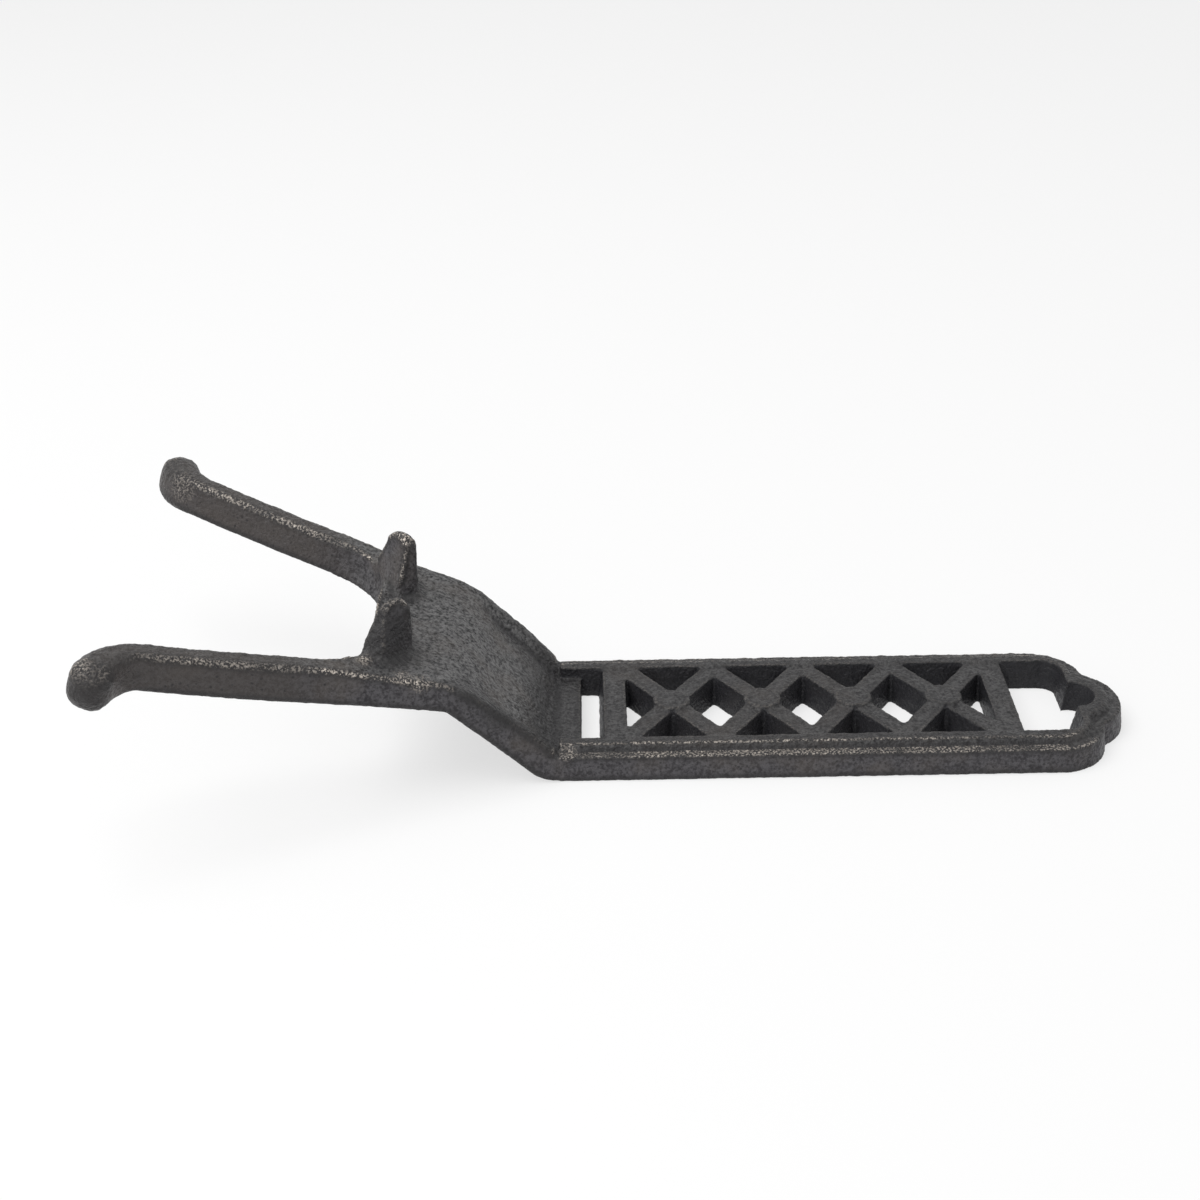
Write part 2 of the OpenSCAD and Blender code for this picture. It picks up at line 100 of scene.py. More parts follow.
@dataclass(frozen=True)
class Plane:
    """A plane at which two sections of the casting meet.

    Args:
        point: A point on the plane, in metres.
        facing: The direction that the plane faces.
    """

    point: Point
    facing: Point

    def keep(self, source: bmesh.types.BMesh, ahead: bool) -> bmesh.types.BMesh:
        """Cuts a closed mesh at the plane and closes the cut.

        Args:
            source: The closed mesh, which isn't changed.
            ahead: Whether the part that the plane faces is kept, or else the part behind it.

        Returns:
            The part that is kept, with a flat cap on each cut.
        """
        kept = source.copy()
        found = bmesh.ops.bisect_plane(
            kept,
            geom=kept.verts[:] + kept.edges[:] + kept.faces[:],
            dist=CUT_WIDTH,
            plane_co=self.point,
            plane_no=self.facing,
            clear_outer=not ahead,
            clear_inner=ahead,
        )
        rim = [e for e in found["geom_cut"] if isinstance(e, bmesh.types.BMEdge)]
        caps = bmesh.ops.holes_fill(kept, edges=rim, sides=0)["faces"]
        outward = Vector(self.facing) * (-1 if ahead else 1)
        for cap in caps:
            cap.normal_update()
            if cap.normal.dot(outward) < 0:
                cap.normal_flip()
            cap.smooth = False
            for edge in cap.edges:
                edge.smooth = False
        return kept

    def part(self, source: bmesh.types.BMesh) -> tuple[bmesh.types.BMesh, bmesh.types.BMesh]:
        """Parts a closed mesh in two.

        Args:
            source: The closed mesh, which is freed.

        Returns:
            The part behind the plane and the part ahead of it.
        """
        behind, ahead = self.keep(source, False), self.keep(source, True)
        source.free()
        return behind, ahead


def across(x: float) -> Plane:
    """A plane across the jack at x, in metres, that faces the tail."""
    return Plane((x, 0, 0), (1, 0, 0))


def middle() -> Plane:
    """The plane through the middle of the jack, which faces its far side."""
    return Plane((0, 0, 0), (0, 1, 0))


@dataclass(frozen=True)
class Pebble:
    """One layer of the sand's print in the skin of the casting.

    Args:
        name: Name of its texture.
        basis: Kind of noise.
        size: Size of a grain, in metres.
        depth: How deep the print goes from its crests to its pits, in metres.
        where: The vertex group whose points it goes to.
        inward: Share of the print that goes inwards.
    """

    name: str
    basis: str
    size: float
    depth: float
    where: str = GRAINY
    inward: float = 0.7

    def press(self, piece: bpy.types.Object) -> None:
        """Adds the print to a piece; most of it goes inwards."""
        texture = bpy.data.textures.new(self.name, "CLOUDS")
        texture.noise_basis = self.basis
        texture.noise_scale = self.size
        texture.noise_depth = 1
        print_in = piece.modifiers.new(self.name, "DISPLACE")
        print_in.texture = texture
        print_in.texture_coords = "LOCAL"
        print_in.mid_level = self.inward
        print_in.strength = self.depth
        print_in.vertex_group = self.where


@dataclass(frozen=True)
class CastIron:
    """Blackened sand-cast iron: grey where level, with painted shade on upright faces, in hollows and on the
    walls of the openings; dark in the pits; bare metal with a painted highlight on the ridges.

    Each pair of stops says how one number becomes another: the first number of a stop becomes its second.

    Args:
        crest: Colour of the crests of the grain on level faces.
        dip: Colour between the crests there.
        shaded_steep_crest: Colour of the crests on upright faces, darker and more purple than on level faces
            as painted shade, where the grain has less contrast.
        shaded_steep_dip: Colour between the crests there, with the same painted shade.
        pit_and_shade: Colour in the pits that the sand left, also the painted shade in hollows and the
            darkening of the tread's level faces.
        lip: Colour of broad ridges and darkened spots, darker than the other faces.
        warm: Colour of the brownish patches.
        fork: Colour that the fork tends to, darker and browner than the rest.
        inside: Colour of the walls of the openings, near black: painted shade.
        rubbed_and_highlit: Colour of the bare metal on the ridges, which is partly a painted highlight.
        grain_size: Size of the grains, in metres.
        lump_size: Size of the lumps among them, in metres.
        patch_size: Size of the brownish patches, in metres.
        fleck_size: Size of the flecks of bare metal, in metres.
        pit_size: Distance between places that may be pits, in metres.
        grain_shares: Shares of grains and lumps in the grain as a whole.
        pit_depth: Distance from a pit's middle, as a share of pit_size, to how much of a pit it is.
        pit_lumps: The lumps to how far pits show among them.
        crest_share: The grain to the share of the crests' colour.
        upright: How far a face looks up to how upright it is, which sets the share of the painted shade on
            upright faces.
        patches: The patches to their share of brown.
        fork_reach: The place along the jack, in metres, to the share of the fork's colour.
        tread_dark: The height, in metres, to how much the level faces of the tread are darkened.
        lip_share: How far a broad ridge stands out, in millimetres, to the share of its colour.
        hollow_shade: How far the form lies below the broad one, in millimetres, to the share of the pits'
            colour: painted shade in the hollows.
        fleck_share: The flecks to how much bare metal and painted highlight they show.
        patchy_wear_and_highlight: The patches to how much bare metal and painted highlight the ridges in
            them show.
        under_wear_and_highlight: Share of the broad ridges' colour under the bare metal and painted
            highlight.
        in_pits: Share of the pits' colour in a pit.
        shade_on_walls: Share of that painted shade on the walls of the openings.
        metallic: How much the bare metal looks like metal.
        grain_roughness: The grain to the roughness of the skin.
        wear_roughness: What wear adds to the roughness.
        relief: What the grain's whole height stands for in its fine relief, in metres.
        specular: Level of the skin's plain shine.
    """

    crest: Colour = (0.134, 0.132, 0.132)
    dip: Colour = (0.014, 0.014, 0.015)
    shaded_steep_crest: Colour = (0.088, 0.084, 0.090)
    shaded_steep_dip: Colour = (0.030, 0.028, 0.031)
    pit_and_shade: Colour = (0.020, 0.019, 0.020)
    lip: Colour = (0.024, 0.023, 0.024)
    warm: Colour = (0.100, 0.086, 0.076)
    fork: Colour = (0.060, 0.052, 0.048)
    inside: Colour = (0.020, 0.020, 0.023)
    rubbed_and_highlit: Colour = (0.50, 0.45, 0.40)
    grain_size: float = 0.8 * MM
    lump_size: float = 1.8 * MM
    patch_size: float = 16 * MM
    fleck_size: float = 0.55 * MM
    pit_size: float = 1.7 * MM
    grain_shares: tuple[float, float] = (0.65, 0.35)
    pit_depth: Stops = ((0.12, 1.0), (0.28, 0.0))
    pit_lumps: Stops = ((0.46, 0.0), (0.56, 1.0))
    crest_share: Stops = ((0.36, 0.0), (0.62, 1.0))
    upright: Stops = ((0.7, 0.0), (0.15, 1.0))
    patches: Stops = ((0.45, 0.0), (0.75, 0.6))
    fork_reach: Stops = ((-66 * MM, 0.0), (-84 * MM, 0.7))
    tread_dark: Stops = ((9 * MM, 0.62), (17 * MM, 0.0))
    lip_share: Stops = ((0.12, 0.0), (0.45, 0.7))
    hollow_shade: Stops = ((-0.05, 0.0), (-0.30, 0.75))
    fleck_share: Stops = ((0.46, 0.0), (0.62, 1.0))
    patchy_wear_and_highlight: Stops = ((0.40, 0.4), (0.56, 1.0))
    under_wear_and_highlight: float = 0.55
    in_pits: float = 0.8
    shade_on_walls: float = 0.85
    metallic: float = 0.6
    grain_roughness: Stops = ((0.3, 0.60), (0.65, 0.32))
    wear_roughness: float = -0.06
    relief: float = 0.8 * MM
    specular: float = 0.25

    def material(self) -> bpy.types.Material:
        """Builds the node material on Object coordinates.

        Returns:
            The material that every section wears.
        """
        made = bpy.data.materials.new("cast_iron")
        made.use_nodes = True
        nodes = Nodes(made.node_tree)
        place = nodes.add("ShaderNodeTexCoord").outputs["Object"]
        fine = nodes.noise(place, self.grain_size, detail=2.0, roughness=0.6)
        lumps = nodes.noise(place, self.lump_size, detail=2.0, roughness=0.5)
        patch = nodes.noise(place, self.patch_size, detail=3.0, roughness=0.55)
        flecks = nodes.noise(place, self.fleck_size, detail=2.0, roughness=0.6)
        fine_share, lump_share = self.grain_shares
        grain = nodes.sum(nodes.scaled(fine, fine_share), nodes.scaled(lumps, lump_share))
        # Bare metal on the ridges and in the listed spots, partly a painted highlight on faces that look to
        # the camera.
        rubbed_and_highlit = nodes.attribute(RUBBED_AND_HIGHLIT)
        wear = nodes.product(rubbed_and_highlit, nodes.ramp(flecks, self.fleck_share))
        wear = nodes.product(wear, nodes.ramp(patch, self.patchy_wear_and_highlight))
        holes = nodes.ramp(nodes.cells(place, self.pit_size), self.pit_depth)
        pits = nodes.product(holes, nodes.ramp(lumps, self.pit_lumps))

        skin = self.skin_and_shade(nodes, place, grain, patch)
        skin = nodes.mix(nodes.scaled(rubbed_and_highlit, self.under_wear_and_highlight), skin, self.lip)
        skin = nodes.mix(nodes.scaled(pits, self.in_pits), skin, self.pit_and_shade)
        # Painted shade on the walls of the openings.
        skin = nodes.mix(nodes.scaled(nodes.attribute(SHADED_INSIDE), self.shade_on_walls), skin, self.inside)
        # The light brownish colour of bare metal there, partly a painted highlight.
        skin = nodes.mix(wear, skin, self.rubbed_and_highlit)

        shader = nodes.find("BSDF_PRINCIPLED")
        nodes.link(skin, shader.inputs["Base Color"])
        nodes.link(nodes.scaled(wear, self.metallic), shader.inputs["Metallic"])
        rough = nodes.sum(nodes.ramp(grain, self.grain_roughness), nodes.scaled(wear, self.wear_roughness))
        nodes.link(rough, shader.inputs["Roughness"])
        nodes.link(nodes.bump(grain, 1.0, self.relief), shader.inputs["Normal"])
        shader.inputs["Specular IOR Level"].default_value = self.specular
        return made

    def skin_and_shade(
        self,
        nodes: "Nodes",
        place: bpy.types.NodeSocket,
        grain: bpy.types.NodeSocket,
        patch: bpy.types.NodeSocket,
    ) -> bpy.types.NodeSocket:
        """Colours the skin before the bare metal and painted highlight, with painted shade on upright faces
        and in hollows.

        Args:
            nodes: The nodes of the material.
            place: The place on the jack.
            grain: The grain there.
            patch: The patches there.

        Returns:
            The colour.
        """
        along, _, height = nodes.parts(place)
        broad_ridge = nodes.attribute(BROAD_RIDGE)
        crests = nodes.ramp(grain, self.crest_share)
        upright = nodes.ramp(nodes.attribute(LEVEL), self.upright)
        level_skin = nodes.mix(crests, self.dip, self.crest)
        # Upright faces get darker, purplish copies of the colours: painted shade.
        skin = nodes.mix(upright, level_skin, nodes.mix(crests, self.shaded_steep_dip, self.shaded_steep_crest))
        skin = nodes.mix(nodes.ramp(patch, self.patches), skin, self.warm)
        skin = nodes.mix(nodes.ramp(along, self.fork_reach), skin, self.fork)
        lying = nodes.ramp(upright, ((0.0, 1.0), (1.0, 0.0)))
        skin = nodes.mix(nodes.product(nodes.ramp(height, self.tread_dark), lying), skin, self.pit_and_shade)
        skin = nodes.mix(nodes.ramp(broad_ridge, self.lip_share), skin, self.lip)
        # Painted shade in the hollows of the broad form.
        skin = nodes.mix(nodes.ramp(broad_ridge, self.hollow_shade), skin, self.pit_and_shade)
        # Darker spots on the near lug and the near lip of the neck.
        return nodes.mix(nodes.attribute(DARKENED), skin, self.lip)


class Nodes:
    """Short names for the few kinds of node that the materials are made of."""

    def __init__(self, tree: bpy.types.NodeTree) -> None:
        """Keeps the tree that the nodes go into."""
        self.tree = tree

    def add(self, kind: str) -> bpy.types.Node:
        """Adds a node of a kind."""
        return self.tree.nodes.new(kind)

    def find(self, kind: str) -> bpy.types.Node:
        """Finds the first node of a type."""
        return next(n for n in self.tree.nodes if n.type == kind)

    def link(self, source: bpy.types.NodeSocket, target: bpy.types.NodeSocket) -> None:
        """Links two sockets."""
        self.tree.links.new(source, target)

    def attribute(self, name: str) -> bpy.types.NodeSocket:
        """Reads a number that the mesh carries at each point."""
        node = self.add("ShaderNodeAttribute")
        node.attribute_name = name
        return node.outputs["Fac"]

    def parts(self, place: bpy.types.NodeSocket) -> tuple[bpy.types.NodeSocket, ...]:
        """The x, y and z of a place."""
        node = self.add("ShaderNodeSeparateXYZ")
        self.link(place, node.inputs[0])
        return tuple(node.outputs)

    def noise(
        self, place: bpy.types.NodeSocket, size: float, detail: float, roughness: float
    ) -> bpy.types.NodeSocket:
        """Noise whose features are about a size across.

        Args:
            place: Where the noise is read.
            size: Size of its features, in metres.
            detail: Number of finer layers.
            roughness: Weight of the finer layers.

        Returns:
            The noise, about 0.5 in the middle.
        """
        node = self.add("ShaderNodeTexNoise")
        node.inputs["Scale"].default_value = 1 / size
        node.inputs["Detail"].default_value = detail
        node.inputs["Roughness"].default_value = roughness
        self.link(place, node.inputs["Vector"])
        return node.outputs["Fac"]

    def cells(self, place: bpy.types.NodeSocket, size: float) -> bpy.types.NodeSocket:
        """How far each place is from the middle of the nearest of many cells.

        Args:
            place: Where the cells are read.
            size: Size of a cell, in metres.

        Returns:
            The distance, as a share of that size.
        """
        node = self.add("ShaderNodeTexVoronoi")
        node.inputs["Scale"].default_value = 1 / size
        self.link(place, node.inputs["Vector"])
        return node.outputs["Distance"]

    def math(
        self, kind: str, a: bpy.types.NodeSocket, b: bpy.types.NodeSocket | float
    ) -> bpy.types.NodeSocket:
        """One operation on two numbers.

        Args:
            kind: The operation.
            a: The first number.
            b: The second number, or a fixed value.

        Returns:
            The result.
        """
        node = self.add("ShaderNodeMath")
        node.operation = kind
        self.link(a, node.inputs[0])
        if isinstance(b, float):
            node.inputs[1].default_value = b
        else:
            self.link(b, node.inputs[1])
        return node.outputs[0]

    def sum(self, a: bpy.types.NodeSocket, b: bpy.types.NodeSocket) -> bpy.types.NodeSocket:
        """Two numbers added."""
        return self.math("ADD", a, b)

    def product(self, a: bpy.types.NodeSocket, b: bpy.types.NodeSocket) -> bpy.types.NodeSocket:
        """Two numbers multiplied."""
        return self.math("MULTIPLY", a, b)

    def scaled(self, a: bpy.types.NodeSocket, factor: float) -> bpy.types.NodeSocket:
        """A number times a fixed factor."""
        return self.math("MULTIPLY", a, factor)

    def ramp(self, value: bpy.types.NodeSocket, stops: Stops) -> bpy.types.NodeSocket:
        """A number led through two stops, smoothly, and level beyond them.

        Args:
            value: The number.
            stops: The two stops, as the number before and after.

        Returns:
            The number after.
        """
        node = self.add("ShaderNodeMapRange")
        node.interpolation_type = "SMOOTHSTEP"
        (low, first), (high, last) = stops
        self.link(value, node.inputs["Value"])
        for name, number in (("From Min", low), ("From Max", high), ("To Min", first), ("To Max", last)):
            node.inputs[name].default_value = number
        return node.outputs["Result"]

    def mix(
        self,
        share: bpy.types.NodeSocket,
        first: bpy.types.NodeSocket | Colour,
        second: bpy.types.NodeSocket | Colour,
    ) -> bpy.types.NodeSocket:
        """Two colours mixed.

        Args:
            share: Share of the second colour.
            first: The first colour.
            second: The second colour.

        Returns:
            The mixed colour.
        """
        node = self.add("ShaderNodeMix")
        node.data_type = "RGBA"
        self.link(share, node.inputs["Factor"])
        sockets = [s for s in node.inputs if s.type == "RGBA"]
        for socket, colour in zip(sockets, (first, second)):
            if isinstance(colour, tuple):
                socket.default_value = (*colour, 1)
            else:
                self.link(colour, socket)
        return next(s for s in node.outputs if s.type == "RGBA")

    def bump(self, height: bpy.types.NodeSocket, strength: float, distance: float) -> bpy.types.NodeSocket:
        """The surface's direction after a height is pressed into it.

        Args:
            height: The height, from 0 to 1.
            strength: How much of it shows.
            distance: What a height of 1 stands for, in metres.

        Returns:
            The direction.
        """
        node = self.add("ShaderNodeBump")
        node.inputs["Strength"].default_value = strength
        node.inputs["Distance"].default_value = distance
        self.link(height, node.inputs["Height"])
        return node.outputs["Normal"]


@dataclass(frozen=True)
class Fillet:
    """Inner corners that are filled, so that the faces on both sides sweep into each other.

    Args:
        low: Lowest corner of the box that holds them, in metres; the box is mirrored to the near side.
        high: Its highest corner.
        depth: How far below a smoother form an inner corner lies at least, in millimetres.
        reaches: How far each pass reaches from the corners, in metres.
        rounds: Rounds of smoothing in each pass.
        factor: How far each round goes.
    """

    low: Point
    high: Point
    depth: float = 0.10
    reaches: tuple[float, ...] = (3.2 * MM, 2.4 * MM, 1.6 * MM)
    rounds: int = 30
    factor: float = 0.5

    def fill(self, mesh: bpy.types.Mesh, ridges: np.ndarray) -> None:
        """Fills the inner corners of a mesh in its box.

        Args:
            mesh: The mesh.
            ridges: How far each of its points stands out of a smoother form, in millimetres.
        """
        places = points_of(mesh)
        mirrored = np.column_stack([places[:, 0], np.abs(places[:, 1]), places[:, 2]])
        near = np.flatnonzero(np.all((mirrored > self.low) & (mirrored < self.high), axis=1))
        corners = near[ridges[near] < -self.depth]
        tree = KDTree(len(corners))
        for index in corners:
            tree.insert(places[index], int(index))
        tree.balance()
        away = np.array([tree.find(places[index])[2] for index in near])
        made = bmesh.new()
        made.from_mesh(mesh)
        made.verts.ensure_lookup_table()
        for reach in self.reaches:
            picked = [made.verts[index] for index in near[away < reach]]
            for _ in range(self.rounds):
                bmesh.ops.smooth_vert(
                    made, verts=picked, factor=self.factor, use_axis_x=True, use_axis_y=True, use_axis_z=True
                )
        made.to_mesh(mesh)
        made.free()


@dataclass(frozen=True)
class Spot:
    """A round place on the skin, stronger in its middle than at its rim.

    Args:
        middle: Its middle, in metres.
        reach: Its radius, in metres.
        strength: How strong it is in its middle.
        steepness: How steeply it sets in at its rim.
    """

    middle: Point
    reach: float
    strength: float
    steepness: float = 1.6

    def on(self, places: np.ndarray) -> np.ndarray:
        """How strong the spot is at each of many places."""
        away = np.linalg.norm(places - np.array(self.middle), axis=1) / self.reach
        return self.strength * np.clip(self.steepness * (1 - away), 0, 1)


def strongest(spots: tuple[Spot, ...], places: np.ndarray) -> np.ndarray:
    """How strong the strongest of some spots is at each of many places."""
    return np.max([spot.on(places) for spot in spots], axis=0)


def rise(numbers: np.ndarray, start: float, reach: float) -> np.ndarray:
    """Turns numbers into 0 up to a start, 1 from a reach beyond it, and in step between the two."""
    return np.clip((numbers - start) / reach, 0, 1)


@dataclass(frozen=True)
class Wear:
    """Where the metal is bared on the ridges, with a painted highlight on those that face the camera, and
    where the skin is darkened.

    Args:
        ridge: How far a ridge stands out where bare metal and painted highlight start, and how much further
            where they are full, in mm.
        upward: How far up it faces where bare metal and painted highlight start, and how much further where
            they are full.
        far_facing: How far a face looks to the far side where it counts as facing it.
        far_share: Share of the bare metal and painted highlight on those faces, which look away from the
            camera.
        openwork: Half width and height of the room of the openwork, in metres.
        openwork_share: Share of the bare metal and painted highlight there, where little rubs.
        tread_share: Share of the bare metal and painted highlight on the whole tread, beside the other
            shares.
        ledge: Half width from which the tread's ledge goes out, in metres.
        ledge_facing: How far up the ledge faces at least.
        ledge_stretch: Where the ledge shows bare metal and painted highlight all over, as x from and to, in
            metres.
        ledge_least: How much bare metal and painted highlight the ledge shows there at least, on the near
            side and on the far one.
        black_neck: The stretch of the neck whose lips show little bare metal and painted highlight, as x
            from and to, in metres.
        black_neck_share: Share of the bare metal and painted highlight there.
        rubbed_and_highlit_spots: Places beside the ridges with bare metal and a painted highlight.
        darkened_spots: Places that are painted darker.
    """

    ridge: tuple[float, float] = (0.07, 0.08)
    upward: tuple[float, float] = (0.15, 0.35)
    far_facing: float = 0.2
    far_share: float = 0.3
    openwork: tuple[float, float] = (18.8 * MM, 12 * MM)
    openwork_share: float = 0.2
    tread_share: float = 0.65
    ledge: float = 21.4 * MM
    ledge_facing: float = 0.5
    ledge_stretch: tuple[float, float] = (-17.5 * MM, 108 * MM)
    ledge_least: tuple[float, float] = (0.7, 0.1)
    black_neck: tuple[float, float] = (-43 * MM, -20 * MM)
    black_neck_share: float = 0.12
    rubbed_and_highlit_spots: tuple[Spot, ...] = (
        Spot((-118.6 * MM, 43.8 * MM, 51.0 * MM), 5.2 * MM, 1.0),
        Spot((-121.4 * MM, -56.6 * MM, 53.2 * MM), 2.8 * MM, 0.6),
        Spot((-50.5 * MM, -27.8 * MM, 32.0 * MM), 3.6 * MM, 0.8),
        Spot((-55.0 * MM, -27.8 * MM, 33.4 * MM), 3.0 * MM, 0.7),
        Spot((-64.2 * MM, -25.6 * MM, 36.9 * MM), 2.4 * MM, 0.8),
        Spot((-16.2 * MM, -22.0 * MM, 7.2 * MM), 2.8 * MM, 0.9),
    )
    darkened_spots: tuple[Spot, ...] = (
        Spot((-59.5 * MM, -19.5 * MM, 38.5 * MM), 12 * MM, 0.8),
        Spot((-30.1 * MM, -24.0 * MM, 24.1 * MM), 10 * MM, 1.0),
        Spot((-38.5 * MM, -24.5 * MM, 28.2 * MM), 7 * MM, 0.7),
        Spot((-24.0 * MM, -24.0 * MM, 16.9 * MM), 7 * MM, 0.7),
    )

    def darkened(self, places: np.ndarray) -> np.ndarray:
        """How dark each of many places is painted."""
        return strongest(self.darkened_spots, places)

    def rubbed_and_highlit(self, places: np.ndarray, facing: np.ndarray, ridges: np.ndarray) -> np.ndarray:
        """How much bare metal and painted highlight each point shows: ridges that face up, and the listed
        spots.

        Args:
            places: The points.
            facing: The directions that they face.
            ridges: How far each stands out of a smoother form, in millimetres.

        Returns:
            A number from 0 to 1 for each point.
        """
        along, aside, up = places[:, 0], np.abs(places[:, 1]), facing[:, 2]
        half, high = self.openwork
        on_tread = places[:, 2] < high
        bared_and_highlit = rise(ridges, *self.ridge) * rise(up, *self.upward)
        # Faces that look away from the camera get less of it, because this is partly a painted highlight.
        bared_and_highlit *= np.where(facing[:, 1] > self.far_facing, self.far_share, 1.0)
        bared_and_highlit *= np.where(on_tread, self.tread_share, 1.0)
        bared_and_highlit *= np.where(on_tread & (aside < half), self.openwork_share, 1.0)
        start, end = self.ledge_stretch
        on_ledge = on_tread & (aside > self.ledge) & (up > self.ledge_facing)
        on_ledge &= (along > start) & (along < end)
        least = np.where(places[:, 1] < 0, *self.ledge_least)
        bared_and_highlit = np.where(on_ledge, np.maximum(bared_and_highlit, least), bared_and_highlit)
        start, end = self.black_neck
        bared_and_highlit *= np.where((along > start) & (along < end), self.black_neck_share, 1.0)
        bared_and_highlit *= 1 - self.darkened(places)
        return np.maximum(bared_and_highlit, strongest(self.rubbed_and_highlit_spots, places))


@dataclass
class Casting:
    """The whole casting, before it is parted.

    Args:
        voxel: Size of the voxels that it is meshed from, in metres.
        soft_rounds: Rounds of smoothing that round its edges and fill its corners.
        soft_factor: How far each round goes.
        fine_rounds: Rounds of smoothing after which its narrow ridges are gone.
        broad_rounds: Further rounds after which its broad ridges are gone too.
        steep_grain: Share of the sand's print on upright faces, which are smoother.
        steps: Number of steps in which the share goes up to 1 on level faces.
        broken_top: Place and height past which the top of the near lug is broken off, as x and z, in metres.
        inner_walls: Length and half width of the rooms within the tread, where shade is painted on the
            walls, in metres, as x from, x to and y.
        wall_facing: How far up or down a wall there faces at most to get the painted shade.
        pebbles: Layers of the sand's print.
        lug_feet: The inner corners round the lugs.
        wear: Where the metal is bared, where highlights are painted and where the skin is darkened.
    """

    voxel: float = 0.33 * MM
    soft_rounds: int = 8
    soft_factor: float = 0.5
    fine_rounds: int = 60
    broad_rounds: int = 240
    steep_grain: float = 0.5
    steps: int = 8
    broken_top: tuple[float, float] = (-72 * MM, 45.5 * MM)
    inner_walls: tuple[tuple[float, float, float], ...] = (
        (-50 * MM, 117 * MM, 17.3 * MM),
        (117 * MM, 120.5 * MM, 7 * MM),
    )
    wall_facing: float = 0.6
    pebbles: tuple[Pebble, ...] = (
        Pebble("sand_waves", "ORIGINAL_PERLIN", 6 * MM, 0.30 * MM),
        Pebble("sand_lumps", "ORIGINAL_PERLIN", 1.8 * MM, 0.46 * MM),
        Pebble("sand_grains", "VORONOI_F1", 1.1 * MM, 0.30 * MM),
        Pebble("broken_top", "ORIGINAL_PERLIN", 1.6 * MM, 1.5 * MM, BROKEN),
    )
    lug_feet: Fillet = Fillet((-72 * MM, 3 * MM, 31.5 * MM), (-50 * MM, 30 * MM, 46 * MM))
    wear: Wear = Wear()

    def run_together(self) -> bpy.types.Object:
        """Joins merged copies of the frame's solids in one object.

        Returns:
            The object, whose solids still touch face to face.
        """
        joined = bmesh.new()
        for name in sorted(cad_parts):
            single = bmesh.new()
            single.from_mesh(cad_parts[name].data)
            bmesh.ops.remove_doubles(single, verts=single.verts[:], dist=SAME_POINT)
            copy = bpy.data.meshes.new(name + "_copy")
            single.to_mesh(copy)
            single.free()
            joined.from_mesh(copy)
            bpy.data.meshes.remove(copy)
        return piece_from(joined, "casting_blank")

    def finished(self, piece: bpy.types.Object) -> bpy.types.Mesh:
        """The mesh that an object's modifiers make; the modifiers are then taken off."""
        mesh = bpy.data.meshes.new_from_object(piece.evaluated_get(bpy.context.evaluated_depsgraph_get()))
        piece.modifiers.clear()
        return mesh

    def smoothed(self, piece: bpy.types.Object, rounds: int) -> bpy.types.Mesh:
        """A copy of an object's mesh after rounds of smoothing."""
        smooth = piece.modifiers.new("soften", "SMOOTH")
        smooth.factor = self.soft_factor
        smooth.iterations = rounds
        return self.finished(piece)

    def ridges(self, mesh: bpy.types.Mesh, broad: bpy.types.Mesh) -> np.ndarray:
        """How far each point of a mesh stands out of a broader form of it, in millimetres."""
        return ((points_of(mesh) - points_of(broad)) * normals_of(mesh)).sum(1) / MM

    def shape(self) -> bmesh.types.BMesh:
        """Runs the solids together, softens them and presses the sand's print into them.

        Returns:
            The closed mesh, which carries the form at each point for the finish.
        """
        piece = self.run_together()
        remesh = piece.modifiers.new("one_skin", "REMESH")
        remesh.mode = "VOXEL"
        remesh.voxel_size = self.voxel
        piece.data = self.smoothed(piece, self.soft_rounds)
        self.lug_feet.fill(piece.data, self.ridges(piece.data, self.smoothed(piece, self.fine_rounds)))
        self.note_form(piece)
        self.note_groups(piece)
        for pebble in self.pebbles:
            pebble.press(piece)
        piece.data = self.finished(piece)
        self.keep_in_box(piece.data)
        made = bmesh.new()
        made.from_mesh(piece.data)
        bpy.data.objects.remove(piece)
        for face in made.faces:
            face.smooth = True
        return made

    def note_form(self, piece: bpy.types.Object) -> None:
        """Writes to each point how far it stands out, how level it lies, how much bare metal and painted
        highlight it shows, how much it is darkened, and where shade is painted on the walls of the openings.
        """
        mesh = piece.data
        fine = self.smoothed(piece, self.fine_rounds)
        solid, piece.data = piece.data, fine
        broad = self.smoothed(piece, self.broad_rounds)
        piece.data = solid
        places = points_of(mesh)
        facing = normals_of(mesh)
        inside = np.zeros(len(places), bool)
        for start, end, half in self.inner_walls:
            inside |= (places[:, 0] > start) & (places[:, 0] < end) & (np.abs(places[:, 1]) < half)
        values = {
            RUBBED_AND_HIGHLIT: self.wear.rubbed_and_highlit(places, facing, self.ridges(mesh, fine)),
            BROAD_RIDGE: self.ridges(mesh, broad),
            LEVEL: facing[:, 2],
            # Walls of the openings, where shade is painted.
            SHADED_INSIDE: np.where(inside & (np.abs(facing[:, 2]) < self.wall_facing), 1.0, 0.0),
            DARKENED: self.wear.darkened(places),
        }
        for name, numbers in values.items():
            mesh.attributes.new(name, "FLOAT", "POINT").data.foreach_set("value", numbers)

    def note_groups(self, piece: bpy.types.Object) -> None:
        """Makes the vertex groups that say where the sand's print and the broken top go."""
        places, facing = points_of(piece.data), normals_of(piece.data)[:, 2]
        level = np.round(np.clip(facing, 0, 1) * self.steps).astype(int)
        grainy = piece.vertex_groups.new(name=GRAINY)
        for step in range(self.steps + 1):
            share = self.steep_grain + (1 - self.steep_grain) * step / self.steps
            grainy.add(np.flatnonzero(level == step).tolist(), share, "REPLACE")
        broken = piece.vertex_groups.new(name=BROKEN)
        start, high = self.broken_top
        top = (places[:, 1] < 0) & (places[:, 2] > high) & (places[:, 0] > start)
        broken.add(np.flatnonzero(top).tolist(), 1.0, "REPLACE")

